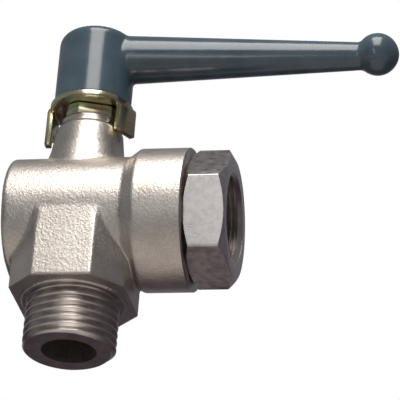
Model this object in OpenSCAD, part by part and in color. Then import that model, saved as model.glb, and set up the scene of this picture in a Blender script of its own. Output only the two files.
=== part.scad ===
// Angle ball valve with an L-bored ball: a male pipe thread at the bottom, a female
// pipe thread in the hexagon end cap at the side, and a quarter-turn lever on top.
// Millimetres. The stem axis is Z, the side port points along +X, and the origin is on
// the stem axis in the plane of the shoulder that stops the male thread.

/* [Pipe ends] */
// Height of the side port axis above the seating shoulder
port_height = 20.5; // [19.5:0.1:22]
// Outside diameter of the male pipe thread
male_thread_d = 20.955; // [20.4:0.005:21.2]
// Length of the male end below the shoulder
male_thread_length = 11.5; // [9:0.1:16]
// Chamfer on the end of the male thread
male_chamfer = 0.45; // [0.2:0.05:0.8]
// Bore through the male end
outlet_bore_d = 12.4; // [11:0.1:14]
// Core diameter of the female pipe thread
female_core_d = 18.631; // [18:0.001:19.2]
// Depth of the female thread from the cap face
female_depth = 13; // [11:0.1:15]
// Diameter of the mouth chamfer in the cap face
female_mouth_d = 21; // [20:0.1:22]

/* [Casting] */
// Diameter of the barrel round the ball
barrel_d = 28.96; // [27.6:0.02:30]
// Diameter of the larger barrel round the end cap
cap_barrel_d = 32.44; // [31.6:0.02:34]
// Distance from the stem axis to the start of the step between the barrels
step_start = 12; // [11.6:0.1:12.5]
// Length of the conical step between the barrels
step_length = 2.6; // [1.6:0.1:4]
// Distance from the stem axis to the rim that the end cap tightens on
rim_x = 25.8; // [24:0.1:30]
// Thickness of the closed end behind the ball
end_wall = 4; // [2.5:0.1:6]
// Rounding on the edge of the closed end
end_round = 0.9; // [0.4:0.1:1.6]
// Half width of the flat pads at front and back of the lower boss
pad_half_w = 6.7; // [5:0.1:8]
// Distance from the stem axis to the flat pads
pad_reach = 14.2; // [13.4:0.1:14.4]
// Distance from the stem axis to the side faces of the lower boss
side_reach = 13.1; // [12.4:0.1:13.8]
// Half width of the side faces of the lower boss
side_half_w = 5.9; // [4.5:0.1:7]
// Diameter of the turned face round the root of the male thread
shoulder_d = 22.8; // [22:0.1:24]
// Height of the turned face below the boss
shoulder_h = 0.5; // [0.3:0.1:1]

/* [Neck] */
// Diameter of the neck at its upper end
neck_top_d = 15.5; // [14.6:0.1:15.8]
// Diameter of the neck at the foot of its draft
neck_foot_d = 16.7; // [16:0.1:17.4]
// Height of the neck foot above the side port axis
neck_foot_h = 17; // [15.8:0.1:18]
// Height of the neck's shoulder above the side port axis
neck_shoulder_h = 22.7; // [22:0.1:23.2]
// Height of the neck's turned rim above the side port axis
neck_rim_h = 24.7; // [24.2:0.1:26]
// Diameter of the turned rim
neck_rim_d = 13.8; // [13.4:0.1:14.4]
// Radius of the rounding between the neck and its rim
neck_round = 0.85; // [0.4:0.05:0.85]
// Spread of the neck where it runs into the barrel
neck_flare = 1.6; // [0.8:0.1:2]
// Reach of the cast stop lug from the stem axis
lug_reach = 9.5; // [9:0.1:9.8]
// Drop of the top of the stop lug below the neck rim
lug_drop = 1.8; // [1:0.1:2.5]
// Bevel on the top edge of the stop lug
lug_bevel = 0.6; // [0.3:0.1:1]

/* [End cap] */
// Width across the flats of the cap's hexagon
hex_af = 27.4; // [26.6:0.1:28]
// Length of the hexagon
hex_length = 9.3; // [7:0.1:11]
// Turn of the hexagon about the port axis
hex_turn = 18.4; // [0:0.1:60]
// Distance from the stem axis to the shoulder that the cap seals against
cap_stop = 12.6; // [12:0.1:13.6]
// Diameter of the cap's body thread
cap_thread_d = 25.2; // [24.6:0.1:25.8]
// Thickness of the sealing gasket under the cap's shoulder
gasket_t = 0.6; // [0.4:0.1:1]

/* [Ball and seats] */
// Diameter of the ball
ball_d = 20.8; // [20.4:0.1:21]
// Diameter of the ball's two bores
ball_bore_d = 11; // [9:0.1:11.4]
// Outside diameter of a seat ring
seat_d = 19.2; // [18:0.1:19.6]
// Inside diameter of a seat ring
seat_bore_d = 12.2; // [11.6:0.1:13]
// Thickness of a seat ring
seat_t = 3.8; // [3.2:0.1:4.2]
// Depth of the pocket that a seat ring sits in
seat_pocket = 2.2; // [1.6:0.1:2.8]
// Web of seat ring left outside the ball
seat_web = 0.8; // [0.5:0.1:1.2]

/* [Stem and packing] */
// Diameter of the stem
stem_d = 7; // [6.4:0.1:7.2]
// Diameter of the stem's inner flange
flange_d = 9.8; // [9.2:0.1:10.2]
// Thickness of the stem's inner flange
flange_t = 1.85; // [1.4:0.05:2.2]
// Thickness of the tang that turns the ball
tang_t = 4; // [3:0.1:5]
// Width of the tang
tang_w = 8; // [6.5:0.1:9]
// Depth of the slot in the ball
slot_depth = 2.8; // [2.2:0.1:3]
// Thickness of the thrust washer
thrust_t = 0.8; // [0.5:0.1:1.2]
// Length of the plain guide bore above the thrust washer
guide_length = 3.1; // [2.6:0.1:3.3]
// Thickness of the stem's O-ring
oring_t = 1; // [0.8:0.05:1.2]
// Diameter of the packing chamber
packing_d = 10.6; // [10:0.1:11]
// Thickness of the packing's base ring
base_ring_t = 0.9; // [0.7:0.1:1.1]
// Thickness of each chevron packing ring
chevron_t = 1; // [0.8:0.05:1.1]
// Rise of a chevron ring's middle
chevron_rise = 0.4; // [0.2:0.05:0.5]
// Thickness of the brass gland follower
follower_t = 1.2; // [0.9:0.1:1.5]

/* [Gland nut and stop plate] */
// Diameter of the bar that the gland nut is turned from
gland_d = 14; // [13.2:0.1:14.6]
// Width across the gland nut's flats
gland_af = 12; // [11.4:0.1:13]
// Height of the gland nut's head
gland_head = 2.7; // [2:0.1:3.2]
// Turn of the gland nut's flats
gland_turn = 20; // [0:1:89]
// Gap between the gland nut and the stop plate
plate_gap = 0.3; // [0.2:0.05:0.6]
// Thickness of the stop plate's sheet
sheet_t = 1.3; // [1:0.05:1.5]
// Diameter of the stop plate's disc
plate_d = 19.2; // [18:0.1:19.6]
// Reach of the stop tab from the stem axis
stop_tab_reach = 9.4; // [9.2:0.05:9.8]
// Direction of the stop tab, measured from the lever
stop_tab_dir = -28; // [-36:1:-20]
// Near edge of the stop tab beside its direction line
stop_tab_near = -0.9; // [-1.4:0.1:-0.4]
// Far edge of the stop tab beside its direction line
stop_tab_far = 4.7; // [4:0.1:5]
// Length of the stop tab below the plate's top
stop_tab_drop = 7.7; // [6.5:0.1:8]
// Reach of the long tab from the stem axis
long_tab_reach = 9.9; // [9.8:0.05:10.2]
// Near edge of the long tab
long_tab_near = 2.3; // [1.8:0.1:3]
// Far edge of the long tab
long_tab_far = 4; // [3.4:0.1:4.4]
// Width of the long tab's finger
finger_w = 1.9; // [1.4:0.1:2.6]
// Length of the long tab's broad part below the plate's top
long_tab_drop = 6.2; // [5:0.1:7]
// Length of the finger below the plate's top
finger_drop = 10; // [8.5:0.1:10.2]
// Outside radius of the bends in the stop plate
bend_r = 1.7; // [1.6:0.05:2]

/* [Lever] */
// Diameter of the lever's hub
hub_d = 17.7; // [17.2:0.1:19]
// Height of the lever's hub
hub_h = 18.5; // [17.6:0.1:19]
// Rounding on the top edge of the hub
hub_round = 2.6; // [1:0.1:3]
// Thickness of the web that the stem's flats pass through
hub_web = 9; // [7:0.1:10]
// Diameter of the recess that holds the lever's nut
recess_d = 12.2; // [12:0.1:12.4]
// Distance from the stem axis to the centre of the ball on the lever
arm_length = 65.5; // [50:0.5:90]
// Height of the arm's axis above the hub's underside, where it leaves the hub
arm_height = 13; // [12.2:0.1:13.2]
// Fall of the arm towards its ball, in degrees
arm_fall = 0.8; // [0:0.1:1.5]
// Diameter of the arm where it leaves the hub
arm_root_d = 11.2; // [9:0.1:11.4]
// Diameter of the arm at the ball end
arm_tip_d = 6.1; // [5:0.1:8]
// Radius of the fillet between the arm and the hub
arm_fillet = 1.8; // [0.6:0.1:2]
// Diameter of the ball on the end of the arm
knob_d = 9.8; // [9:0.1:14]
// Height of the ball's centre above the arm's axis
knob_rise = 0.4; // [0:0.1:1]

/* [Lever fastening] */
// Width across the stem's upper flats
stem_af = 5.2; // [4.6:0.1:5.6]
// Diameter of the stem's upper thread
stem_thread_d = 5.9; // [5.4:0.1:6]
// Width across the flats of the lever's nut
nut_af = 10; // [9:0.1:10.4]
// Thickness of the lever's nut
nut_t = 4; // [3:0.1:5]
// Thickness of the flat washer
washer_t = 1; // [0.8:0.1:1.4]
// Diameter of the flat washer
washer_d = 11.8; // [10.5:0.1:11.8]
// Thickness of the spring washer
spring_washer_t = 1.4; // [1:0.1:1.6]
// Diameter of the spring washer
spring_washer_d = 9.8; // [9:0.1:10.4]
// Gap where the spring washer is split
split_gap = 0.6; // [0.3:0.1:1]
// Lean of the split in degrees
split_lean = 25; // [10:1:35]
// Length of stem that stands above the nut
stem_proud = 0.7; // [0.5:0.1:1.2]

/* [Fits] */
// Radial clearance between the stem and what it turns in
running_clear = 0.05; // [0.02:0.01:0.1]
// Radial clearance between threads and pockets and what fits in them
thread_clear = 0.05; // [0.02:0.01:0.1]
// Gap between the ball and the seat rings
seat_clear = 0.1; // [0.05:0.01:0.3]
// Gap above and below the tang in the ball's slot
slot_clear = 0.2; // [0.1:0.05:0.4]
// Gap between the ball and the chamber round it
chamber_clear = 0.5; // [0.3:0.05:0.6]
// Gap between flat faces that turn against each other
face_clear = 0.1; // [0.05:0.01:0.3]
// Gap left between a tab and the stop lug at each end of the travel
stop_clear = 0.3; // [0.2:0.05:0.6]
// Travel of the lever in degrees
travel = 90; // [80:1:90]

/* [Hidden] */
$fn = 72;
cut = 0.01;
// how far an added form starts inside the one that it stands on
sink = 0.2;
// bevel on turned edges, and the step from a hexagon's flats in to its turned face
edge = 0.3;
hex_inset = 0.2;

ball_r = ball_d / 2;
chamber_r = ball_r + chamber_clear;
seat_back = ball_r + seat_web;
barrel_r = barrel_d / 2;
cap_barrel_r = cap_barrel_d / 2;
closed_end = seat_back + end_wall;
step_end = step_start + step_length;
cap_nose = seat_back - seat_pocket;
cap_thread_r = cap_thread_d / 2;
cap_face = rim_x + hex_length;
cap_bore_r = outlet_bore_d / 2;

ball_top = port_height + ball_r;
flange_z = ball_top + slot_clear;
thrust_z = flange_z + flange_t + face_clear;
guide_z = thrust_z + thrust_t;
packing_z = guide_z + guide_length;
stem_r = stem_d / 2;
stem_bore_r = stem_r + running_clear;
packing_r = packing_d / 2;
ring_clear = 0.02;
chevron_pitch = chevron_t + ring_clear;
chevron_z = packing_z + base_ring_t + ring_clear;
follower_z = chevron_z + 3 * chevron_pitch;
rim_z = port_height + neck_rim_h;
gland_top = rim_z + gland_head;
gland_foot = follower_z + follower_t + ring_clear;
oring_z = guide_z + guide_length / 2;
groove_r = stem_r - oring_t;
groove_w = 1.2 * oring_t;

plate_z = gland_top + plate_gap;
hub_z = plate_z + sheet_t;
web_top = hub_z + hub_web;
spring_z = web_top + washer_t;
nut_z = spring_z + spring_washer_t;
stem_top = nut_z + nut_t + stem_proud;
hub_top = hub_z + hub_h;

function arc(cx, cy, r, a0, a1, n = 8) =
    [for (i = [0:n]) let (a = a0 + (a1 - a0) * i / n) [cx + r * cos(a), cy + r * sin(a)]];

// Turns a profile of [radius, distance] about the side port axis
module about_port_axis() {
    translate([0, 0, port_height])
        rotate([0, 90, 0])
            rotate_extrude() children();
}

module bore(r, z0, z1) {
    translate([0, 0, z0]) cylinder(r = r, h = z1 - z0);
}

module port_bore(r, x0, x1) {
    translate([x0, 0, port_height])
        rotate([0, 90, 0]) cylinder(r = r, h = x1 - x0);
}

module ring(r_out, r_in, z, h) {
    translate([0, 0, z])
        difference() {
            cylinder(r = r_out, h = h);
            translate([0, 0, -cut]) cylinder(r = r_in, h = h + 2 * cut);
        }
}

// Round bar with two flats, as on the upper stem and in the pieces that it drives
module double_d(r, af, h) {
    intersection() {
        cylinder(r = r, h = h);
        translate([-r, -af / 2, 0]) cube([2 * r, af, h]);
    }
}

module barrel() {
    about_port_axis()
        polygon(concat(
            [[0, -closed_end]],
            arc(barrel_r - end_round, -closed_end + end_round, end_round, -90, 0),
            [[barrel_r, step_start], [cap_barrel_r, step_end],
             [cap_barrel_r, rim_x - edge], [cap_barrel_r - edge, rim_x], [0, rim_x]]));
}

module lower_boss() {
    translate([0, 0, shoulder_h])
        linear_extrude(height = port_height - shoulder_h)
            polygon([[pad_half_w, pad_reach], [-pad_half_w, pad_reach],
                     [-side_reach, side_half_w], [-side_reach, -side_half_w],
                     [-pad_half_w, -pad_reach], [pad_half_w, -pad_reach],
                     [side_reach, -side_half_w], [side_reach, side_half_w]]);
}

module male_end() {
    male_r = male_thread_d / 2;
    bore(shoulder_d / 2, 0, shoulder_h + cut);
    bore(male_r, male_chamfer - male_thread_length, cut);
    translate([0, 0, -male_thread_length])
        cylinder(r1 = male_r - male_chamfer, r2 = male_r, h = male_chamfer);
}

module neck() {
    foot_z = port_height + neck_foot_h;
    shoulder_z = port_height + neck_shoulder_h;
    rim_r = neck_rim_d / 2;
    top_r = neck_top_d / 2;
    foot_r = neck_foot_d / 2;
    root_r = foot_r + neck_flare;
    // the flare keeps its slope down to where the barrel's side has fallen away
    root_z = port_height + sqrt(pow(barrel_r, 2) - pow(root_r, 2)) - sink;
    rotate_extrude()
        polygon(concat(
            [[0, root_z], [root_r, root_z], [foot_r, foot_z]],
            arc(top_r - neck_round, shoulder_z - neck_round, neck_round, 0, 60, 5),
            [[rim_r, shoulder_z + edge], [rim_r, rim_z - edge], [rim_r - edge, rim_z], [0, rim_z]]));
}

// Directions that the edges of the tabs reach, seen from the stem axis
stop_edge = stop_tab_dir + atan2(stop_tab_far, stop_tab_reach - sheet_t);
long_edge = 180 - atan2(long_tab_far, long_tab_reach - sheet_t);
stop_angle = asin(stop_clear / (long_tab_reach - sheet_t));

module stop_lug() {
    from = travel + stop_edge + stop_angle;
    to = long_edge - stop_angle;
    foot = port_height + sqrt(pow(barrel_r, 2) - pow(lug_reach, 2)) - sink;
    top = rim_z - lug_drop;
    inner = (packing_r + neck_top_d / 2) / 2;
    rotate([0, 0, from])
        rotate_extrude(angle = to - from)
            polygon([[inner, foot], [lug_reach, foot], [lug_reach, top - lug_bevel],
                     [lug_reach - lug_bevel, top], [inner, top]]);
}

module body() {
    color("#b8aea2")
        difference() {
            union() {
                barrel();
                lower_boss();
                male_end();
                neck();
                stop_lug();
            }
            port_bore(chamber_r, -cap_nose, rim_x + cut);
            port_bore(seat_d / 2 + thread_clear, -seat_back, 0);
            port_bore(cap_thread_r + thread_clear, cap_stop, rim_x + cut);
            bore(outlet_bore_d / 2, -male_thread_length - cut, port_height);
            bore(flange_d / 2 + thread_clear, port_height, guide_z);
            bore(stem_bore_r, guide_z - cut, packing_z + cut);
            bore(packing_r + thread_clear, packing_z, rim_z + cut);
        }
}

module end_cap() {
    nose_r = chamber_r - thread_clear;
    shoulder_x = cap_stop + gasket_t;
    corner_r = hex_af / 2 / cos(30);
    seat_r = hex_af / 2 - hex_inset;
    bevel = (corner_r - seat_r) * tan(30);
    female_r = female_core_d / 2;
    mouth = female_mouth_d / 2 - female_r;
    female_end = cap_face - female_depth;
    color("#c3bcb4")
        difference() {
            union() {
                port_bore(nose_r, cap_nose, shoulder_x + cut);
                port_bore(cap_thread_r, shoulder_x, rim_x + cut);
                intersection() {
                    translate([rim_x, 0, port_height])
                        rotate([0, 90, 0]) rotate([0, 0, hex_turn])
                            cylinder(r = corner_r, h = hex_length, $fn = 6);
                    about_port_axis()
                        polygon([[0, rim_x], [seat_r, rim_x], [corner_r, rim_x + bevel],
                                 [corner_r, cap_face - bevel], [seat_r, cap_face], [0, cap_face]]);
                }
            }
            port_bore(seat_d / 2 + thread_clear, cap_nose - cut, seat_back);
            port_bore(cap_bore_r, seat_back - cut, cap_face);
            about_port_axis()
                polygon([[0, female_end - (female_r - cap_bore_r) / 2],
                         [cap_bore_r, female_end - (female_r - cap_bore_r) / 2],
                         [female_r, female_end], [female_r, cap_face - mouth],
                         [female_r + mouth + cut, cap_face + cut], [0, cap_face + cut]]);
        }
}

module cap_gasket() {
    color("#e9e4d6")
        about_port_axis()
            translate([chamber_r, cap_stop])
                square([cap_thread_r - chamber_r, gasket_t]);
}

// Seat ring on the side of +X: flat back, bored middle and a face that follows the ball
module seat_ring() {
    face_r = ball_r + seat_clear;
    color("#f2efe6")
        difference() {
            port_bore(seat_d / 2, seat_back - seat_t, seat_back);
            port_bore(seat_bore_d / 2, 0, seat_back + cut);
            translate([0, 0, port_height]) sphere(r = face_r);
        }
}

module seat_ring_port() {
    seat_ring();
}

module seat_ring_back() {
    mirror([1, 0, 0]) seat_ring();
}

module ball() {
    bore_r = ball_bore_d / 2;
    slot_w = tang_t + 2 * thread_clear;
    color("#d8d8d6")
        difference() {
            translate([0, 0, port_height]) sphere(r = ball_r);
            bore(bore_r, port_height - ball_r - cut, port_height);
            port_bore(bore_r, 0, ball_r + cut);
            translate([0, 0, port_height]) sphere(r = bore_r);
            translate([-slot_w / 2, -ball_r, ball_top - slot_depth])
                cube([slot_w, ball_d, slot_depth + cut]);
        }
}

module stem() {
    tang_z = ball_top - slot_depth + slot_clear;
    color("#c9b27a")
        difference() {
            union() {
                intersection() {
                    translate([-tang_t / 2, -tang_w / 2, tang_z])
                        cube([tang_t, tang_w, flange_z - tang_z + cut]);
                    bore(flange_d / 2, tang_z, flange_z + flange_t);
                }
                bore(flange_d / 2, flange_z, flange_z + flange_t);
                bore(stem_r, flange_z, plate_z);
                translate([0, 0, plate_z - cut])
                    double_d(stem_r, stem_af, web_top - plate_z - edge + cut);
                bore(stem_thread_d / 2, web_top - edge - cut, stem_top - edge);
                translate([0, 0, stem_top - edge])
                    cylinder(r1 = stem_thread_d / 2, r2 = stem_thread_d / 2 - edge, h = edge);
            }
            ring(stem_r + cut, groove_r, oring_z - groove_w / 2, groove_w);
        }
}

module thrust_washer() {
    color("#f2efe6") ring(flange_d / 2, stem_bore_r, thrust_z, thrust_t);
}

module stem_oring() {
    color("#222222")
        translate([0, 0, oring_z])
            rotate_extrude()
                translate([groove_r + oring_t / 2, 0]) circle(d = oring_t, $fn = 24);
}

module packing_base_ring() {
    middle = (packing_r + stem_bore_r) / 2;
    top = packing_z + base_ring_t;
    color("#f2efe6")
        rotate_extrude()
            polygon([[stem_bore_r, packing_z], [packing_r, packing_z], [packing_r, top - chevron_rise],
                     [middle, top], [stem_bore_r, top - chevron_rise]]);
}

module chevron_ring(i) {
    middle = (packing_r + stem_bore_r) / 2;
    z = chevron_z + i * chevron_pitch;
    color("#f2efe6")
        rotate_extrude()
            polygon([[stem_bore_r, z - chevron_rise], [middle, z], [packing_r, z - chevron_rise],
                     [packing_r, z + chevron_t - chevron_rise], [middle, z + chevron_t],
                     [stem_bore_r, z + chevron_t - chevron_rise]]);
}

module packing_ring_lower() {
    chevron_ring(0);
}

module packing_ring_middle() {
    chevron_ring(1);
}

module packing_ring_upper() {
    chevron_ring(2);
}

module gland_follower() {
    middle = (packing_r + stem_bore_r) / 2;
    top = follower_z + follower_t;
    color("#b9974f")
        rotate_extrude()
            polygon([[stem_bore_r, follower_z - chevron_rise], [middle, follower_z],
                     [packing_r, follower_z - chevron_rise], [packing_r, top], [stem_bore_r, top]]);
}

module gland_nut() {
    color("#b5a468")
        difference() {
            union() {
                bore(packing_r, gland_foot, rim_z + cut);
                rotate([0, 0, gland_turn])
                    intersection() {
                        bore(gland_d / 2, rim_z, gland_top);
                        translate([-gland_af / 2, -gland_af / 2, rim_z])
                            cube([gland_af, gland_af, gland_head]);
                    }
            }
            bore(stem_bore_r, gland_foot - cut, gland_top + cut);
        }
}

// One bent tab on the side of +X: near and far are its edges in Y, drop is its length
// below the top of the plate, and root is where it joins the disc
module bent_tab(reach, near, far, drop, root) {
    top = hub_z;
    inner = bend_r - sheet_t;
    translate([0, far, 0])
        rotate([90, 0, 0])
            linear_extrude(height = far - near)
                polygon(concat(
                    [[root, top]],
                    arc(reach - bend_r, top - bend_r, bend_r, 90, 0, 6),
                    [[reach, top - drop], [reach - sheet_t, top - drop]],
                    arc(reach - bend_r, top - bend_r, inner, 0, 90, 4),
                    [[root, top - sheet_t]]));
}

module stop_plate() {
    lip_in = neck_top_d / 2 + stop_clear;
    lip_top = hub_z - stop_tab_drop + sheet_t;
    root = (stem_r + plate_d / 2) / 2;
    color("#9a9270")
        difference() {
            union() {
                bore(plate_d / 2, plate_z, hub_z);
                rotate([0, 0, stop_tab_dir]) {
                    bent_tab(stop_tab_reach, stop_tab_near, stop_tab_far, stop_tab_drop, root);
                    translate([lip_in, stop_tab_near, lip_top - sheet_t])
                        cube([stop_tab_reach - lip_in - cut, stop_tab_far - stop_tab_near, sheet_t]);
                }
                rotate([0, 0, 180]) {
                    bent_tab(long_tab_reach, -long_tab_far, long_tab_near, long_tab_drop, root);
                    bent_tab(long_tab_reach, long_tab_near - finger_w, long_tab_near,
                             finger_drop, root);
                }
            }
            translate([0, 0, plate_z - cut])
                double_d(stem_r + thread_clear, stem_af + 2 * thread_clear, sheet_t + 2 * cut);
            // the disc is cut back beyond the tabs, where the sheet turns down
            rotate([0, 0, stop_tab_dir])
                translate([stop_tab_reach, -plate_d, plate_z - cut])
                    cube([plate_d, 2 * plate_d, sheet_t + 2 * cut]);
        }
}

// Round tapered arm with the ball on its end; the crown is cut flush with the hub's top
module arm() {
    hub_r = hub_d / 2;
    root_r = arm_root_d / 2;
    knob_drop = (arm_length - hub_r) * tan(arm_fall);
    knob_z = hub_z + arm_height - knob_drop + knob_rise;
    // the fillet starts on the hub's side and ends where the arm comes clear of it
    flare_r = root_r + arm_fillet;
    flare_x = sqrt(pow(hub_r, 2) - pow(flare_r, 2)) - hub_r - sink;
    clear_x = sqrt(pow(hub_r, 2) - pow(root_r, 2)) - hub_r + arm_fillet;
    intersection() {
        translate([hub_r, 0, hub_z + arm_height])
            rotate([0, 90 + arm_fall, 0])
                rotate_extrude()
                    polygon(concat(
                        [[0, flare_x]],
                        [for (t = [0:15:90])
                            [flare_r - arm_fillet * sin(t), flare_x + (clear_x - flare_x) * (1 - cos(t))]],
                        [[arm_tip_d / 2, arm_length - hub_r], [0, arm_length - hub_r]]));
        translate([0, -hub_r, hub_z]) cube([arm_length, hub_d, hub_h]);
    }
    translate([arm_length, 0, knob_z]) sphere(d = knob_d);
}

module lever() {
    hub_r = hub_d / 2;
    color("#4f606e")
        difference() {
            union() {
                rotate_extrude()
                    polygon(concat(
                        [[0, hub_z], [hub_r - edge, hub_z], [hub_r, hub_z + edge]],
                        arc(hub_r - hub_round, hub_top - hub_round, hub_round, 0, 90),
                        [[0, hub_top]]));
                arm();
            }
            translate([0, 0, hub_z - cut])
                double_d(stem_r + thread_clear, stem_af + 2 * thread_clear, hub_web + 2 * cut);
            bore(recess_d / 2, web_top, hub_top + cut);
        }
}

module flat_washer() {
    color("#b0ab98") ring(washer_d / 2, stem_thread_d / 2 + thread_clear, web_top, washer_t);
}

// Split ring whose ends stand one above the other
module spring_washer() {
    color("#8d8a80")
        difference() {
            ring(spring_washer_d / 2, stem_thread_d / 2 + thread_clear, spring_z, spring_washer_t);
            translate([0, 0, spring_z + spring_washer_t / 2])
                rotate([split_lean, 0, 0])
                    translate([0, -split_gap / 2, -spring_washer_t])
                        cube([spring_washer_d, split_gap, 2 * spring_washer_t]);
        }
}

module handle_nut() {
    corner_r = nut_af / 2 / cos(30);
    face_r = nut_af / 2 - hex_inset;
    bevel = (corner_r - face_r) * tan(30);
    color("#b5a468")
        difference() {
            intersection() {
                translate([0, 0, nut_z]) cylinder(r = corner_r, h = nut_t, $fn = 6);
                rotate_extrude()
                    polygon([[0, nut_z], [face_r, nut_z], [corner_r, nut_z + bevel],
                             [corner_r, nut_z + nut_t - bevel], [face_r, nut_z + nut_t],
                             [0, nut_z + nut_t]]);
            }
            bore(stem_thread_d / 2 + thread_clear, nut_z - cut, nut_z + nut_t + cut);
        }
}

body();
end_cap();
cap_gasket();
seat_ring_back();
seat_ring_port();
ball();
stem();
thrust_washer();
stem_oring();
packing_base_ring();
packing_ring_lower();
packing_ring_middle();
packing_ring_upper();
gland_follower();
gland_nut();
stop_plate();
lever();
flat_washer();
spring_washer();
handle_nut();
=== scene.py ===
import math

import bpy
import numpy as np
from mathutils import Matrix, Vector


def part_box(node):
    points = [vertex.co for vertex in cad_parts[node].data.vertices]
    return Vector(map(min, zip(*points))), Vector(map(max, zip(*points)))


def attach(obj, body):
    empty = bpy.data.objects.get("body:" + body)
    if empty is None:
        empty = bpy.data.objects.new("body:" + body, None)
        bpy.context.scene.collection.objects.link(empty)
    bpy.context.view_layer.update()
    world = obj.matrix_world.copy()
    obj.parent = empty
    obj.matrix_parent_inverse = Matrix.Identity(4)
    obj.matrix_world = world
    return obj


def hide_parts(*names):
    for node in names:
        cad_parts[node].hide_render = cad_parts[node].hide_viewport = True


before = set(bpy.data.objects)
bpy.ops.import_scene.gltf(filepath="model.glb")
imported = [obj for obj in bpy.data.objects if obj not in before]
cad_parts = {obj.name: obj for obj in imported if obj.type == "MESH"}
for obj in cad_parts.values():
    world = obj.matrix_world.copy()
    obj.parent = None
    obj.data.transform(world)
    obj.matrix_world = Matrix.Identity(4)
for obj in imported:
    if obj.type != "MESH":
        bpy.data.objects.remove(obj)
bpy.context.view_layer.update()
mm = 0.001
print("frame loaded:", len(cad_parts), "nodes")


def top(node):
    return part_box(node)[1].z / mm


def foot(node):
    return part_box(node)[0].z / mm


# what every piece lines up with, in millimetres
portAxis = (foot("seat_ring_port") + top("seat_ring_port")) / 2
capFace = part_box("end_cap")[1].x / mm
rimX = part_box("body")[1].x / mm


# Modelling helpers

def selectOnly(*pieces):
    bpy.ops.object.select_all(action="DESELECT")
    for piece in pieces:
        piece.select_set(True)
    bpy.context.view_layer.objects.active = pieces[0]


def arc(centre, radius, start, end, steps=8):
    turns = [math.radians(start + (end - start) * i / steps) for i in range(steps + 1)]
    return [(centre[0] + radius * math.cos(a), centre[1] + radius * math.sin(a)) for a in turns]


def drawProfile(name, points, closed=False):  # points are (radius, height) in millimetres
    bpy.ops.object.select_all(action="DESELECT")
    bpy.ops.mesh.primitive_plane_add(size=mm)
    piece = bpy.context.object
    piece.name = name
    bpy.ops.object.mode_set(mode="EDIT")
    bpy.ops.mesh.select_all(action="SELECT")
    bpy.ops.mesh.merge(type="CENTER")
    bpy.ops.transform.translate(value=(points[0][0] * mm, 0, points[0][1] * mm))
    for before, after in zip(points, points[1:]):
        step = ((after[0] - before[0]) * mm, 0, (after[1] - before[1]) * mm)
        bpy.ops.mesh.extrude_region_move(TRANSFORM_OT_translate={"value": step})
    bpy.ops.object.mode_set(mode="OBJECT")
    if closed:
        for vertex in piece.data.vertices:
            vertex.select = vertex.index in (0, len(points) - 1)
        bpy.ops.object.mode_set(mode="EDIT")
        bpy.ops.mesh.edge_face_add()
        bpy.ops.object.mode_set(mode="OBJECT")
    return piece


def weld(piece, gap=2e-7):
    selectOnly(piece)
    bpy.ops.object.mode_set(mode="EDIT")
    bpy.ops.mesh.select_all(action="SELECT")
    bpy.ops.mesh.remove_doubles(threshold=gap)
    bpy.ops.mesh.normals_make_consistent(inside=False)
    bpy.ops.object.mode_set(mode="OBJECT")
    return piece


def place(piece, shift=(0, 0, 0), turn=(0, 0, 0)):  # shift in millimetres, turn in degrees
    selectOnly(piece)
    piece.location = [value * mm for value in shift]
    piece.rotation_euler = [math.radians(value) for value in turn]
    bpy.ops.object.transform_apply(location=True, rotation=True, scale=True)
    return piece


def turned(name, points, closed=False, steps=160):  # a lathe form about the Z axis
    piece = drawProfile(name, points, closed)
    bpy.ops.object.mode_set(mode="EDIT")
    bpy.ops.mesh.select_all(action="SELECT")
    bpy.ops.mesh.spin(steps=steps, angle=2 * math.pi, center=(0, 0, 0), axis=(0, 0, 1))
    bpy.ops.object.mode_set(mode="OBJECT")
    return weld(piece)


def turnedOnPort(name, points, closed=False, steps=160):  # a lathe form about the side port axis
    return place(turned(name, points, closed, steps), (0, 0, portAxis), (0, 90, 0))


def sliceOff(piece, point, normal):  # cuts away what lies on the side that normal points to
    selectOnly(piece)
    bpy.ops.object.mode_set(mode="EDIT")
    bpy.ops.mesh.select_all(action="SELECT")
    bpy.ops.mesh.bisect(plane_co=[value * mm for value in point], plane_no=normal,
                        use_fill=True, clear_outer=True, threshold=1e-8)
    bpy.ops.object.mode_set(mode="OBJECT")
    return piece


def applied(piece, kind, **settings):
    selectOnly(piece)
    modifier = piece.modifiers.new(kind.lower(), kind)
    for name, value in settings.items():
        setattr(modifier, name, value)
    bpy.ops.object.modifier_apply(modifier=modifier.name)
    return piece


def combined(piece, other, operation):
    applied(piece, "BOOLEAN", object=other, operation=operation, solver="MANIFOLD")
    bpy.data.objects.remove(other)
    return piece


def coordinates(piece):
    points = np.empty(len(piece.data.vertices) * 3)
    piece.data.vertices.foreach_get("co", points)
    return points.reshape(-1, 3) / mm


def castTogether(name, parts, voxel, nearJoint, softenSteps):
    # overlapping forms become one skin, which is then softened where two forms meet
    selectOnly(*parts)
    bpy.ops.object.join()
    piece = bpy.context.object
    piece.name = name
    applied(piece, "REMESH", mode="VOXEL", voxel_size=voxel * mm, adaptivity=0)
    weights = nearJoint(coordinates(piece))
    group = piece.vertex_groups.new(name="joint")
    for level in np.unique(np.round(weights, 1)):
        if level > 0:
            chosen = np.nonzero(np.round(weights, 1) == level)[0]
            group.add(chosen.tolist(), float(level), "REPLACE")
    applied(piece, "SMOOTH", factor=0.5, iterations=softenSteps, vertex_group="joint")
    applied(piece, "SMOOTH", factor=0.5, iterations=3)
    piece.vertex_groups.clear()
    return piece


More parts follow.
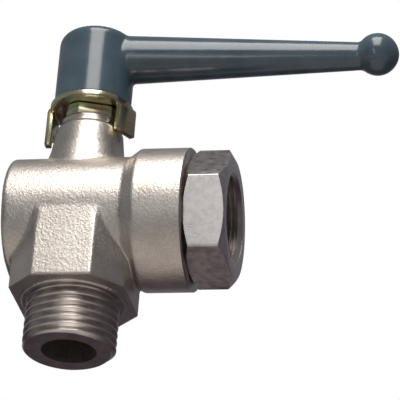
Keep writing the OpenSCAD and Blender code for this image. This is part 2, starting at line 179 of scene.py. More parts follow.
def threadSolid(name, size, low, high, startTurn):
    # one pitch of the flank is drawn, screwed up the axis and cut off square at both ends
    pitch = size["pitch"]
    middle = (size["crest"] + size["root"]) / 2
    depth = (size["crest"] - size["root"]) / 2
    steps = size["profileSteps"]
    points = []
    for i in range(steps + 1):
        rise = 1 - abs(2 * i / steps - 1)  # 0 at the root, 1 at the crest
        flank = max(-1, min(1, (2 * rise - 1) * size["sharpness"]))
        points.append((middle + depth * math.sin(flank * math.pi / 2), pitch * i / steps))
    piece = drawProfile(name, [(r, low - 2 * pitch + z) for r, z in points])
    applied(piece, "SCREW", angle=2 * math.pi, screw_offset=pitch * mm, axis="Z",
            iterations=math.ceil((high - low) / pitch) + 4, steps=size["turnSteps"],
            render_steps=size["turnSteps"], use_merge_vertices=False)
    place(weld(piece, 1e-6), turn=(0, 0, startTurn))
    sliceOff(piece, (0, 0, low), (0, 0, -1))
    sliceOff(piece, (0, 0, high), (0, 0, 1))
    return weld(piece)


def smoothed(piece, angle=35):
    selectOnly(piece)
    bpy.ops.object.shade_smooth_by_angle(angle=math.radians(angle))
    return piece


def softened(node, name, width):  # a copy of a frame node with its edges broken
    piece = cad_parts[node].copy()
    piece.data = piece.data.copy()
    piece.parent = None
    for key in list(piece.keys()):
        if key.startswith("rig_"):
            del piece[key]
    bpy.context.scene.collection.objects.link(piece)
    piece.name = name
    piece.data.materials.clear()
    weld(piece, 1e-6)
    bpy.ops.object.mode_set(mode="EDIT")
    bpy.ops.mesh.select_all(action="SELECT")
    bpy.ops.mesh.dissolve_limited(angle_limit=math.radians(0.5))
    bpy.ops.object.mode_set(mode="OBJECT")
    applied(piece, "BEVEL", width=width * mm, segments=2, limit_method="ANGLE",
            angle_limit=math.radians(40), use_clamp_overlap=True)
    return smoothed(piece)


def finishPiece(piece, body, slot, *materials, standsFor=()):
    piece.data.materials.clear()
    for material in materials:
        piece.data.materials.append(material)
    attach(piece, body)
    if standsFor:
        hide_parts(*standsFor)


def chooseMaterial(piece, index, test):  # test takes a face's centre in millimetres and its normal
    for face in piece.data.polygons:
        if test(face.center / mm, face.normal):
            face.material_index = index


# Shader maths on sockets

class Wire:
    def __init__(self, finish, socket):
        self.finish = finish
        self.socket = socket

    def combine(self, operation, first, second):
        return self.finish.add("ShaderNodeMath", {"operation": operation}, [first, second])

    def __add__(self, other):
        return self.combine("ADD", self, other)

    def __radd__(self, other):
        return self.combine("ADD", other, self)

    def __sub__(self, other):
        return self.combine("SUBTRACT", self, other)

    def __rsub__(self, other):
        return self.combine("SUBTRACT", other, self)

    def __mul__(self, other):
        return self.combine("MULTIPLY", self, other)

    def __rmul__(self, other):
        return self.combine("MULTIPLY", other, self)

    def __truediv__(self, other):
        return self.combine("DIVIDE", self, other)

    def __rtruediv__(self, other):
        return self.combine("DIVIDE", other, self)

    def __pow__(self, other):
        return self.combine("POWER", self, other)


class Finish:
    def __init__(self, owner):
        owner.use_nodes = True
        self.owner = owner
        self.tree = owner.node_tree
        self.tree.nodes.clear()

    def add(self, kind, settings=None, inputs=None, output=0):
        node = self.tree.nodes.new(kind)
        for name, value in (settings or {}).items():
            if name == "stops":
                ramp = node.color_ramp.elements
                while len(ramp) < len(value):
                    ramp.new(1)
                for stop, (position, colour) in zip(ramp, value):
                    stop.position = position
                    stop.color = (*colour, 1) if hasattr(colour, "__len__") else (colour,) * 3 + (1,)
            else:
                setattr(node, name, value)
        pairs = inputs.items() if isinstance(inputs, dict) else enumerate(inputs or [])
        for key, value in pairs:
            if isinstance(value, Wire):
                self.tree.links.new(value.socket, node.inputs[key])
            else:
                node.inputs[key].default_value = value
        return Wire(self, node.outputs[output]) if node.outputs else None

    def place(self):
        return self.add("ShaderNodeTexCoord", output="Object")

    def axis(self, where, name):
        return self.add("ShaderNodeSeparateXYZ", None, [where], output=name)

    def noise(self, where, scale, detail=3, roughness=0.5):
        return self.add("ShaderNodeTexNoise", None,
                        {"Vector": where, "Scale": scale, "Detail": detail, "Roughness": roughness})

    def cells(self, where, scale, feature="F1", output="Distance"):
        return self.add("ShaderNodeTexVoronoi", {"feature": feature},
                        {"Vector": where, "Scale": scale}, output)

    def fade(self, value, low, high):  # 0 below low, 1 above high
        return self.add("ShaderNodeMapRange", {"interpolation_type": "SMOOTHSTEP"},
                        {"Value": value, "From Min": low, "From Max": high})

    def mix(self, share, first, second):
        inputs = {"Factor": share}
        for key, colour in (("A", first), ("B", second)):
            inputs[key] = colour if isinstance(colour, Wire) else (*colour, 1)
        node = self.tree.nodes.new("ShaderNodeMix")
        node.data_type = "RGBA"
        colours = {"A": node.inputs[6], "B": node.inputs[7], "Factor": node.inputs[0]}
        for key, value in inputs.items():
            if isinstance(value, Wire):
                self.tree.links.new(value.socket, colours[key])
            else:
                colours[key].default_value = value
        return Wire(self, node.outputs[2])

    def bump(self, height, distance, strength=1, normal=None):
        inputs = {"Height": height, "Distance": distance * mm, "Strength": strength}
        if normal:
            inputs["Normal"] = normal
        return self.add("ShaderNodeBump", None, inputs)

    def surface(self, **inputs):
        shader = self.add("ShaderNodeBsdfPrincipled", None,
                          {key.replace("_", " "): value for key, value in inputs.items()})
        self.add("ShaderNodeOutputMaterial", None, {"Surface": shader})
        return self.owner


def material(name):
    return Finish(bpy.data.materials.new(name))


# Finishes

def blastedNickel():
    look = {
        "pale": (0.66, 0.62, 0.57), "dull": (0.50, 0.46, 0.42),
        "grain": 2300, "fineGrain": 5200, "patch": 160,
        "roughLow": 0.30, "roughHigh": 0.46, "grainDepth": 0.045, "fineDepth": 0.018,
    }
    m = material("blastedNickel")
    where = m.place()
    grain = m.noise(where, look["grain"], 2, 0.6)
    fine = m.noise(where, look["fineGrain"], 2)
    patch = m.fade(m.noise(where, look["patch"]), 0.35, 0.65)
    pits = m.cells(where, look["grain"] * 0.7)
    tone = patch * 0.4 + m.fade(grain, 0.35, 0.65) * 0.6
    relief = m.bump(fine, look["fineDepth"], normal=m.bump(grain + pits * 0.6, look["grainDepth"]))
    spread = look["roughHigh"] - look["roughLow"]
    return m.surface(Base_Color=m.mix(tone, look["dull"], look["pale"]), Metallic=1.0,
                     Roughness=look["roughLow"] + spread * fine, Normal=relief)


def machinedNickel():
    look = {
        "pale": (0.66, 0.62, 0.58), "dull": (0.50, 0.46, 0.44),
        "mark": 900, "rough": 0.27, "markDepth": 0.006,
    }
    m = material("machinedNickel")
    where = m.place()
    mark = m.noise(where, look["mark"], 4)
    tone = m.fade(m.noise(where, 300), 0.3, 0.7)
    return m.surface(Base_Color=m.mix(tone, look["dull"], look["pale"]), Metallic=1.0,
                     Roughness=look["rough"] + 0.1 * mark, Normal=m.bump(mark, look["markDepth"]))


def turnedFace():
    # rings left by the facing tool, centred on the side port axis
    look = {"pale": (0.68, 0.64, 0.62), "dull": (0.54, 0.50, 0.49), "ring": 42, "rough": 0.24}
    m = material("turnedFace")
    where = m.place()
    along = m.axis(where, "Y")
    up = m.axis(where, "Z") - portAxis * mm
    radius = m.add("ShaderNodeMath", {"operation": "SQRT"}, [along * along + up * up])
    wobble = m.noise(where, 500) * 0.00008
    rings = m.add("ShaderNodeMath", {"operation": "SINE"}, [(radius + wobble) * look["ring"] / mm])
    haze = m.fade(m.noise(where, 420), 0.3, 0.7)
    return m.surface(Base_Color=m.mix(haze, look["dull"], look["pale"]), Metallic=1.0,
                     Roughness=look["rough"] + 0.08 * haze, Normal=m.bump(rings, 0.0012))


def drawnHexagon():
    # long fine scratches along the bar, with small pale nicks
    look = {"pale": (0.66, 0.62, 0.60), "dull": (0.50, 0.47, 0.46), "rough": 0.22}
    m = material("drawnHexagon")
    where = m.place()
    squeezed = m.add("ShaderNodeMapping", None, {"Vector": where, "Scale": (0.12, 1, 1)})
    lines = m.noise(squeezed, 3200, 2)
    nicks = m.fade(m.cells(where, 900), 0.12, 0.04)
    haze = m.noise(where, 650, 4)
    height = lines + haze * 1.5 - nicks * 0.6
    tone = m.fade(haze, 0.35, 0.65)
    return m.surface(Base_Color=m.mix(tone, look["dull"], look["pale"]), Metallic=1.0,
                     Roughness=look["rough"] + 0.16 * haze, Normal=m.bump(height, 0.010))


def glossyPaint():
    look = {
        "deep": (0.052, 0.082, 0.105), "light": (0.075, 0.110, 0.138),
        "peel": 520, "peelDepth": 0.010, "rough": 0.16,
    }
    m = material("glossyPaint")
    where = m.place()
    peel = m.noise(where, look["peel"], 2)
    wave = m.noise(where, 130, 2)
    tone = m.fade(wave, 0.3, 0.7)
    dust = m.fade(m.cells(where, 1300), 0.09, 0.03)
    return m.surface(Base_Color=m.mix(tone, look["deep"], look["light"]),
                     Roughness=look["rough"] + 0.06 * wave + 0.2 * dust,
                     Normal=m.bump(peel + wave * 2 - dust, look["peelDepth"]),
                     Specular_IOR_Level=0.6)


def yellowPassivated(name, rough):
    look = {
        "straw": (0.66, 0.58, 0.34), "green": (0.52, 0.55, 0.38), "rose": (0.60, 0.46, 0.44),
        "film": 210, "scratch": 2600,
    }
    m = material(name)
    where = m.place()
    film = m.noise(where, look["film"], 3)
    second = m.noise(where, look["film"] * 2.3, 3)
    colour = m.mix(m.fade(film, 0.40, 0.62), look["straw"], look["green"])
    colour = m.mix(m.fade(second, 0.52, 0.70), colour, look["rose"])
    scratch = m.noise(m.add("ShaderNodeMapping", None, {"Vector": where, "Scale": (1, 1, 0.15)}),
                      look["scratch"], 2)
    return m.surface(Base_Color=colour, Metallic=1.0, Roughness=rough + 0.12 * scratch,
                     Normal=m.bump(scratch + second, 0.005))


def plainBrass():
    m = material("plainBrass")
    where = m.place()
    tarnish = m.fade(m.noise(where, 380, 4), 0.35, 0.7)
    height = m.axis(where, "Z")
    marks = m.add("ShaderNodeMath", {"operation": "SINE"}, [height * 26 / mm])
    return m.surface(Base_Color=m.mix(tarnish, (0.74, 0.56, 0.27), (0.55, 0.40, 0.20)), Metallic=1.0,
                     Roughness=0.24 + 0.12 * tarnish, Normal=m.bump(marks, 0.002))


def polishedChrome():
    m = material("polishedChrome")
    where = m.place()
    haze = m.noise(where, 300, 3)
    return m.surface(Base_Color=m.mix(haze, (0.72, 0.72, 0.73), (0.80, 0.80, 0.80)), Metallic=1.0,
                     Roughness=0.05 + 0.08 * haze, Normal=m.bump(m.noise(where, 2400), 0.0004))


def whiteSeal():
    m = material("whiteSeal")
    where = m.place()
    cloud = m.noise(where, 600, 3)
    return m.surface(Base_Color=m.mix(cloud, (0.84, 0.83, 0.79), (0.92, 0.91, 0.88)),
                     Roughness=0.38 + 0.1 * cloud, Normal=m.bump(cloud, 0.006))


def blackRubber():
    m = material("blackRubber")
    where = m.place()
    grain = m.noise(where, 2600, 3)
    return m.surface(Base_Color=m.mix(grain, (0.018, 0.018, 0.019), (0.035, 0.035, 0.036)),
                     Roughness=0.45 + 0.15 * grain, Normal=m.bump(grain, 0.004))


finishes = {
    "blasted": blastedNickel(), "machined": machinedNickel(), "faced": turnedFace(),
    "drawn": drawnHexagon(), "paint": glossyPaint(),
    "plate": yellowPassivated("yellowPlate", 0.16), "gland": yellowPassivated("yellowNut", 0.24),
    "brass": plainBrass(), "chrome": polishedChrome(), "seal": whiteSeal(), "rubber": blackRubber(),
}
print("finishes made:", len(finishes))


# Pipe threads

pipeThread = {
    "crest": 10.4775, "root": 9.3155, "pitch": 1.814, "sharpness": 1.25,
    "profileSteps": 16, "turnSteps": 120,
}


# The cast body, with its male thread

castBody = {
    "barrelRadius": 14.48, "capBarrelRadius": 16.22, "stepStart": 12.0, "stepEnd": 14.6,
    "closedEnd": 15.2, "endRound": 0.9, "padReach": 14.2, "padHalf": 6.7, "sideReach": 13.1,
    "sideHalf": 5.9, "washerRadius": 11.4, "washerHeight": 0.5, "threadLength": 11.5,
    "threadChamfer": 0.45, "threadTurn": 0, "outletRadius": 6.2, "neckTop": 7.75, "neckFoot": 8.35,
    "neckFootZ": 37.5, "neckShoulderZ": 43.2, "rimRadius": 6.9, "neckRound": 0.85, "flare": 1.6,
    "lugReach": 9.5, "lugFrom": 94.1, "lugTo": 153.1, "voxel": 0.29, "filletReach": 1.1,
    "softenSteps": 26,
}


def makeBody(size):
    rimZ = top("body")
    barrelEdge = size["closedEnd"] - size["endRound"]
    barrel = turnedOnPort("castBody", [
        (0, -size["closedEnd"]),
        *arc((size["barrelRadius"] - size["endRound"], -barrelEdge), size["endRound"], -90, 0),
        (size["barrelRadius"], size["stepStart"]), (size["capBarrelRadius"], size["stepEnd"]),
        (size["capBarrelRadius"], rimX + 1), (0, rimX + 1)])
    bpy.ops.object.select_all(action="DESELECT")
    bpy.ops.mesh.primitive_cube_add(size=mm, scale=(2 * size["sideReach"], 2 * size["padReach"],
                                                    portAxis - size["washerHeight"]))
    boss = place(bpy.context.object, (0, 0, (portAxis + size["washerHeight"]) / 2))
    bevelX = size["sideReach"] - size["padHalf"]
    bevelY = size["padReach"] - size["sideHalf"]
    for sideX in (-1, 1):
        for sideY in (-1, 1):
            sliceOff(boss, (sideX * size["padHalf"], sideY * size["padReach"], 0),
                     (sideX * bevelY, sideY * bevelX, 0))
    rootRadius = size["neckFoot"] + size["flare"]
    rootZ = portAxis + math.sqrt(size["barrelRadius"] ** 2 - rootRadius ** 2) - 0.2
    roundZ = size["neckShoulderZ"] - size["neckRound"]
    neck = turned("neck", [
        (0, rootZ), (rootRadius, rootZ), (size["neckFoot"], size["neckFootZ"]),
        *arc((size["neckTop"] - size["neckRound"], roundZ), size["neckRound"], 0, 60, 5),
        (size["rimRadius"], size["neckShoulderZ"] + 0.3), (size["rimRadius"], rimZ + 1), (0, rimZ + 1)])
    lugZ = portAxis + math.sqrt(size["barrelRadius"] ** 2 - size["lugReach"] ** 2) - 0.2
    lugTop = rimZ - 1.8
    lug = turned("lug", [(6.5, lugZ), (size["lugReach"], lugZ), (size["lugReach"], lugTop - 0.6),
                         (size["lugReach"] - 0.6, lugTop), (6.5, lugTop)], closed=True)
    for angle, side in ((size["lugFrom"], -1), (size["lugTo"], 1)):
        across = math.radians(angle + 90 * side)
        sliceOff(lug, (0, 0, 0), (math.cos(across), math.sin(across), 0))
    washer = turned("washer", [(0, -1), (size["washerRadius"], -1),
                               (size["washerRadius"], size["washerHeight"] + 0.3),
                               (0, size["washerHeight"] + 0.3)])

    def nearJoint(points):
        x, y, z = points.T
        fromPort = np.hypot(y, z - portAxis)
        fromStem = np.hypot(x, y)
        step = np.clip((x - size["stepStart"]) / (size["stepEnd"] - size["stepStart"]), 0, 1)
        radius = size["barrelRadius"] + step * (size["capBarrelRadius"] - size["barrelRadius"])
        toBarrel = np.abs(fromPort - radius)
        oblique = (np.abs(x) * bevelY + np.abs(y) * bevelX) / math.hypot(bevelX, bevelY)
        reach = (size["padHalf"] * bevelY + size["padReach"] * bevelX) / math.hypot(bevelX, bevelY)
        toBoss = np.minimum(np.abs(oblique - reach), np.minimum(
            np.abs(np.abs(x) - size["sideReach"]), np.abs(np.abs(y) - size["padReach"])))
        toBoss = np.where(z < portAxis, toBoss, 99)
        toNeck = np.where(z > portAxis, np.abs(fromStem - size["neckFoot"] - size["flare"] * np.clip(
            (size["neckFootZ"] - z) / (size["neckFootZ"] - rootZ), 0, 1)), 99)
        near = np.maximum(toBarrel, np.minimum(toBoss, toNeck))
        return np.clip(1.6 - near / size["filletReach"], 0, 1)

    body = castTogether("castBody", [barrel, boss, neck, lug, washer], size["voxel"], nearJoint,
                        size["softenSteps"])
    print("casting:", len(body.data.polygons), "faces")
    # facing cuts at the rim, the neck and the seating shoulder
    combined(body, turnedOnPort("facing", [
        (0, rimX), (size["capBarrelRadius"] - 0.3, rimX), (size["capBarrelRadius"] + 0.3, rimX - 0.6),
        (20, rimX - 0.6), (20, rimX + 3), (0, rimX + 3)]), "DIFFERENCE")
    combined(body, turned("facing", [(0, rimZ), (size["rimRadius"] - 0.3, rimZ),
                                     (size["rimRadius"] + 0.3, rimZ - 0.6), (9, rimZ - 0.6),
                                     (9, rimZ + 3), (0, rimZ + 3)]), "DIFFERENCE")
    combined(body, turned("facing", [(0, -3), (20, -3), (20, 0), (0, 0)], steps=64), "DIFFERENCE")
    thread = threadSolid("maleThread", pipeThread, -size["threadLength"], 0.3, size["threadTurn"])
    end = -size["threadLength"]
    blank = turned("blank", [
        (0, end - 1), (pipeThread["crest"] - size["threadChamfer"] - 1, end - 1),
        (pipeThread["crest"] - size["threadChamfer"] - 1, end),
        (pipeThread["crest"] - size["threadChamfer"], end),
        (pipeThread["crest"] + 0.05, end + size["threadChamfer"] + 0.05),
        (pipeThread["crest"] + 0.05, 1), (0, 1)], steps=240)
    combined(thread, blank, "INTERSECT")
    combined(body, thread, "UNION")
    # bores, from the same sizes as the pieces that they hold
    seatRadius = (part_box("seat_ring_port")[1].y / mm) + 0.05
    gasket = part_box("cap_gasket")
    capThread = gasket[1].y / mm + 0.05
    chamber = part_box("ball")[1].y / mm + 0.55
    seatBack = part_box("seat_ring_port")[1].x / mm
    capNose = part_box("end_cap")[0].x / mm
    combined(body, turnedOnPort("portBore", [
        (0, -seatBack), (seatRadius, -seatBack), (seatRadius, -capNose), (chamber, -capNose),
        (chamber, gasket[0].x / mm), (capThread, gasket[0].x / mm), (capThread, rimX + 3),
        (0, rimX + 3)]), "DIFFERENCE")
    guideZ = top("thrust_washer")
    packingZ = foot("packing_base_ring")
    combined(body, turned("stemBore", [
        (0, end - 3), (size["outletRadius"], end - 3), (size["outletRadius"], portAxis),
        (4.95, portAxis), (4.95, guideZ), (3.55, guideZ), (3.55, packingZ), (5.35, packingZ),
        (5.35, rimZ + 3), (0, rimZ + 3)]), "DIFFERENCE")
    finishPiece(body, "housing", "cast_nickel", finishes["blasted"], finishes["machined"],
                standsFor=["body"])
    rim = size["capBarrelRadius"]

    def machined(centre, normal):
        fromPort = math.hypot(centre.y, centre.z - portAxis)
        fromStem = math.hypot(centre.x, centre.y)
        return (centre.z < size["washerHeight"] - 0.05 or centre.x > rimX - 0.35
                or (fromPort < rim - 3.4 and centre.x > -size["closedEnd"] + 0.5 and fromStem < 12)
                or (centre.z > size["neckShoulderZ"] + 0.2 and fromStem < 7.1))

    chooseMaterial(body, 1, machined)
    return smoothed(body, 38)


makeBody(castBody)
print("body made")


# The hexagon end cap, with its female thread

hexCap = {"flats": 27.4, "turn": 18.4, "inset": 0.2, "corner": 0.22, "length": 9.3, "mouth": 21.0,
          "threadDepth": 13.0, "boreRadius": 6.2, "threadTurn": 0}


def makeCap(size):
    cornerRadius = size["flats"] / 2 / math.cos(math.radians(30))
    bpy.ops.object.select_all(action="DESELECT")
    bpy.ops.mesh.primitive_cylinder_add(vertices=6, radius=cornerRadius * mm,
                                        depth=(size["length"] + 0.6) * mm)
    cap = bpy.context.object
    cap.name = "hexCap"
    for edge in cap.data.edges:
        low, high = (cap.data.vertices[i].co for i in edge.vertices)
        edge.select = abs(low.z - high.z) > mm
    bpy.ops.object.mode_set(mode="EDIT")
    bpy.ops.mesh.select_mode(type="EDGE")
    bpy.ops.object.mode_set(mode="OBJECT")
    for edge in cap.data.edges:
        low, high = (cap.data.vertices[i].co for i in edge.vertices)
        edge.select = abs(low.z - high.z) > mm
    bpy.ops.object.mode_set(mode="EDIT")
    bpy.ops.mesh.bevel(offset=size["corner"] * mm, segments=3, affect="EDGES")
    bpy.ops.mesh.select_mode(type="VERT")
    bpy.ops.object.mode_set(mode="OBJECT")
    # the cylinder's first corner lies on +Y of its own frame
    place(cap, turn=(0, 0, size["turn"] - 90))
    place(cap, (capFace - size["length"] / 2, 0, portAxis), (0, 90, 0))
    faceRadius = size["flats"] / 2 - size["inset"]
    bevel = (cornerRadius - faceRadius) * math.tan(math.radians(30))
    back = capFace - size["length"]
    combined(cap, turnedOnPort("bevelled", [
        (0, back), (faceRadius, back), (cornerRadius, back + bevel), (cornerRadius, capFace - bevel),
        (faceRadius, capFace), (0, capFace)], steps=240), "INTERSECT")
    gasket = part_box("cap_gasket")
    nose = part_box("end_cap")[0].x / mm
    combined(cap, turnedOnPort("screwedPart", [
        (0, nose), (gasket[1].y / mm - 1.75, nose), (gasket[1].y / mm - 1.75, gasket[1].x / mm),
        (gasket[1].y / mm, gasket[1].x / mm), (gasket[1].y / mm, back + 0.2), (0, back + 0.2)]), "UNION")
    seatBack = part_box("seat_ring_port")[1].x / mm
    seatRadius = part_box("seat_ring_port")[1].y / mm + 0.05
    threadEnd = capFace - size["threadDepth"]
    core = pipeThread["root"]
    mouth = size["mouth"] / 2
    combined(cap, turnedOnPort("bored", [
        (0, nose - 1), (seatRadius, nose - 1), (seatRadius, seatBack), (size["boreRadius"], seatBack),
        (size["boreRadius"], threadEnd - (core - size["boreRadius"]) / 2), (core, threadEnd),
        (core, capFace - (mouth - core)), (mouth + 1, capFace + 1), (0, capFace + 1)], steps=240),
        "DIFFERENCE")
    tap = threadSolid("tap", pipeThread, threadEnd + 0.8, capFace + 1, size["threadTurn"])
    combined(cap, place(tap, (0, 0, portAxis), (0, 90, 0)), "DIFFERENCE")
    finishPiece(cap, "housing", "turned_nickel", finishes["drawn"], finishes["faced"],
                finishes["machined"], standsFor=["end_cap"])
    chooseMaterial(cap, 1, lambda centre, normal: centre.x > back - 0.1 and abs(normal.x) > 0.3)
    chooseMaterial(cap, 2, lambda centre, normal: math.hypot(centre.y, centre.z - portAxis) < mouth - 0.02)
    return smoothed(cap, 32)


makeCap(hexCap)
print("end cap made")


# The lever

leverForm = {
    "hubRadius": 8.85, "hubRound": 2.6, "edge": 0.3, "recessRadius": 6.1, "armHeight": 13.0,
    "armFall": 0.8, "armRoot": 5.6, "armTip": 3.05, "armLength": 65.5, "knobRadius": 4.9,
    "knobRise": 0.4, "flatsAcross": 5.3, "stemRadius": 3.55, "voxel": 0.24, "filletReach": 1.2,
    "softenSteps": 30,
}


def makeLever(size):
    hubFoot, hubTop = foot("lever"), top("lever")
    hub = turned("lever", [
        (0, hubFoot), (size["hubRadius"] - size["edge"], hubFoot), (size["hubRadius"], hubFoot + size["edge"]),
        *arc((size["hubRadius"] - size["hubRound"], hubTop - size["hubRound"]), size["hubRound"], 0, 90, 12),
        (0, hubTop)])
    armZ = hubFoot + size["armHeight"]
    length = size["armLength"] - size["hubRadius"]
    inside = 3.5
    slope = (size["armRoot"] - size["armTip"]) / length
    arm = turned("arm", [(0, -inside), (size["armRoot"] + slope * inside, -inside),
                         (size["armTip"], length), (0, length)])
    place(arm, (size["hubRadius"], 0, armZ), (0, 90 + size["armFall"], 0))
    sliceOff(arm, (0, 0, hubTop), (0, 0, 1))
    knobZ = armZ - length * math.tan(math.radians(size["armFall"])) + size["knobRise"]
    bpy.ops.object.select_all(action="DESELECT")
    bpy.ops.mesh.primitive_uv_sphere_add(segments=96, ring_count=48, radius=size["knobRadius"] * mm)
    knob = place(bpy.context.object, (size["armLength"], 0, knobZ))

    def nearJoint(points):
        x, y, z = points.T
        toHub = np.abs(np.hypot(x, y) - size["hubRadius"])
        axisZ = armZ - (x - size["hubRadius"]) * math.tan(math.radians(size["armFall"]))
        toArm = np.abs(np.hypot(y, z - axisZ) - (size["armRoot"] - slope * (x - size["hubRadius"])))
        toKnob = np.abs(np.sqrt((x - size["armLength"]) ** 2 + y ** 2 + (z - knobZ) ** 2) - size["knobRadius"])
        near = np.maximum(np.where(x > 0, toArm, 99), np.minimum(toHub, toKnob))
        return np.clip(1.6 - near / size["filletReach"], 0, 1)

    lever = castTogether("lever", [hub, arm, knob], size["voxel"], nearJoint, size["softenSteps"])
    webTop = foot("flat_washer")
    combined(lever, turned("recess", [(0, webTop), (size["recessRadius"], webTop),
                                      (size["recessRadius"], hubTop - 0.4),
                                      (size["recessRadius"] + 0.4, hubTop + 0.001),
                                      (size["recessRadius"] + 0.4, hubTop + 2), (0, hubTop + 2)]),
             "DIFFERENCE")
    hole = turned("hole", [(0, hubFoot - 1), (size["stemRadius"], hubFoot - 1),
                           (size["stemRadius"], webTop + 1), (0, webTop + 1)], steps=96)
    for side in (-1, 1):
        sliceOff(hole, (0, side * size["flatsAcross"] / 2, 0), (0, side, 0))
    combined(lever, hole, "DIFFERENCE")
    finishPiece(lever, "rotor", "lever_paint", finishes["paint"], standsFor=["lever"])
    return smoothed(lever, 45)


makeLever(leverForm)
print("lever made")


# Pieces that keep the frame's form with broken edges

edgeBreaks = {
    "stop_plate": ("stopPlate", 0.12, "rotor", "plate_yellow", "plate"),
    "gland_nut": ("glandNut", 0.12, "housing", "gland_yellow", "gland"),
    "flat_washer": ("flatWasher", 0.08, "rotor", "fastener_yellow", "gland"),
    "handle_nut": ("handleNut", 0.08, "rotor", "fastener_yellow", "gland"),
}
for node, (name, width, body, slot, finish) in edgeBreaks.items():
    finishPiece(softened(node, name, width), body, slot, finishes[finish], standsFor=[node])

keptNodes = {
    "chrome": ["ball"], "rubber": ["stem_oring"], "brass": ["stem", "gland_follower"],
    "gland": ["spring_washer"],
    "seal": ["cap_gasket", "seat_ring_back", "seat_ring_port", "thrust_washer", "packing_base_ring",
             "packing_ring_lower", "packing_ring_middle", "packing_ring_upper"],
}
for finish, nodes in keptNodes.items():
    for node in nodes:
        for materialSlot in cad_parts[node].material_slots:
            materialSlot.material = finishes[finish]
print("small pieces made")


# Floor, light and camera

studio = {
    "floorDrop": 1.0, "floorSize": 40.0, "backdrop": (1.0, 1.0, 1.0),
    "left": (0.26, 0.265, 0.28), "right": (0.12, 0.11, 0.13), "front": (0.09, 0.09, 0.10),
    "overhead": (0.20, 0.20, 0.21), "frontBelow": (0.40, 0.38, 0.37), "backBelow": (0.045, 0.03, 0.045),
    "nadir": (0.62, 0.56, 0.53),
    "keyAzimuth": 6, "keyElevation": 51, "keyDistance": 0.6, "keySize": (0.36, 0.58), "keyPower": 4.2,
    "keyColour": (1.0, 0.96, 0.93),
    "stripPlace": (-0.05, -0.49, -0.017), "stripLean": 17.8, "stripSize": (0.02, 0.26), "stripPower": 0.12,
}


def around(azimuth, elevation, distance):  # azimuth 0 is on the side of -Y and 90 on +X
    a, e = math.radians(azimuth), math.radians(elevation)
    return Vector((math.sin(a) * math.cos(e), -math.cos(a) * math.cos(e), math.sin(e))) * distance


def areaLight(name, position, target, size, power, lean=0):
    bpy.ops.object.light_add(type="AREA", location=position)
    light = bpy.context.object
    light.name = name
    light.data.shape = "RECTANGLE"
    light.data.size, light.data.size_y = size
    light.data.energy = power
    aim = (target - position).to_track_quat("-Z", "Y").to_matrix()
    light.rotation_euler = (aim @ Matrix.Rotation(math.radians(lean), 3, "Z")).to_euler()
    return light


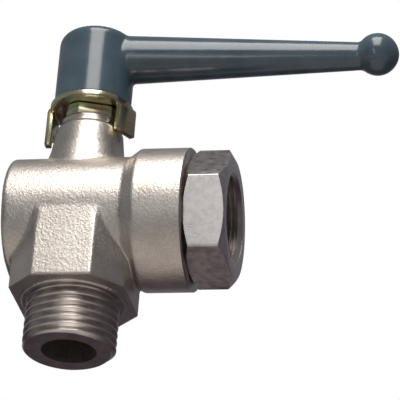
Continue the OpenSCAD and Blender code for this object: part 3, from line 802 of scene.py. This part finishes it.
def makeStudio(setup):
    world = bpy.data.worlds.new("studio")
    bpy.context.scene.world = world
    w = Finish(world)
    toward = w.add("ShaderNodeTexCoord", output="Generated")
    across, back, height = (w.axis(toward, name) for name in "XYZ")
    level = w.add("ShaderNodeMath", {"operation": "ABSOLUTE"}, [height])
    tone = w.mix(w.fade(across, -0.4, 0.6), setup["left"], setup["right"])
    tone = w.mix(w.fade(back, -0.2, -0.7) * w.fade(level, 0.42, 0.2), tone, setup["front"])
    tone = w.mix(w.fade(height, 0.3, 0.8), tone, setup["overhead"])
    tone = w.mix(w.fade(height, -0.05, -0.3) * w.fade(back, -0.2, 0.2), tone, setup["backBelow"])
    tone = w.mix(w.fade(height, -0.25, -0.5) * w.fade(back, 0.2, -0.3), tone, setup["frontBelow"])
    tone = w.mix(w.fade(height, -0.75, -0.92), tone, setup["nadir"])
    seen = w.add("ShaderNodeLightPath", output="Is Camera Ray")
    shown = w.mix(seen, tone, setup["backdrop"])
    sky = w.add("ShaderNodeBackground", None, {"Color": shown, "Strength": 1.0})
    w.add("ShaderNodeOutputWorld", None, {"Surface": sky})

    bpy.ops.object.select_all(action="DESELECT")
    bpy.ops.mesh.primitive_plane_add(size=setup["floorSize"], location=(0, 0, -setup["floorDrop"]))
    floor = bpy.context.object
    floor.name = "floor"
    m = material("paleFloor")
    cloud = m.noise(m.place(), 3)
    m.surface(Base_Color=m.mix(cloud, (0.84, 0.84, 0.84), (0.88, 0.88, 0.87)), Roughness=0.8,
              Emission_Color=m.mix(cloud, (0.94, 0.94, 0.94), (0.97, 0.97, 0.96)), Emission_Strength=0.7)
    floor.data.materials.append(m.owner)
    floor.visible_glossy = floor.visible_diffuse = floor.visible_shadow = False

    middle = Vector((0.02, 0, 0.03))
    key = middle + around(setup["keyAzimuth"], setup["keyElevation"], setup["keyDistance"])
    softbox = areaLight("keySoftbox", key, middle, setup["keySize"], setup["keyPower"])
    softbox.data.color = setup["keyColour"]
    strip = Vector(setup["stripPlace"])
    areaLight("stripLight", strip, Vector((0.036, 0, 0.062)), setup["stripSize"], setup["stripPower"],
              setup["stripLean"])


def makeCamera():
    view = {"azimuth": 14.6413, "elevation": -26.8159, "distance": 0.661062, "yaw": -2.26465,
            "pitch": 0.659509, "roll": 5.59199, "focalPixels": 2931.84, "framePixels": 400,
            "sensor": 36.0}
    a, e = math.radians(view["azimuth"]), math.radians(view["elevation"])
    back = around(view["azimuth"], view["elevation"], 1)
    up = Vector((-math.sin(a) * math.sin(e), math.cos(a) * math.sin(e), math.cos(e)))
    right = Vector((math.cos(a), math.sin(a), 0))
    position = back * view["distance"] + Vector((0, 0, portAxis * mm))

    def swing(axis, degrees, *vectors):
        turn = Matrix.Rotation(math.radians(degrees), 3, axis)
        return [turn @ vector for vector in vectors]

    back, right = swing(up, view["yaw"], back, right)
    back, up = swing(right, view["pitch"], back, up)
    right, up = swing(back, view["roll"], right, up)
    bpy.ops.object.camera_add(location=position)
    camera = bpy.context.object
    camera.matrix_world = Matrix.Translation(position) @ Matrix((right, up, back)).transposed().to_4x4()
    camera.data.sensor_width = view["sensor"]
    camera.data.lens = view["focalPixels"] * view["sensor"] / view["framePixels"]
    camera.data.clip_start, camera.data.clip_end = 0.01, 20
    bpy.context.scene.camera = camera


makeStudio(studio)
makeCamera()
bpy.context.scene.view_settings.view_transform = "Standard"
print("studio made")
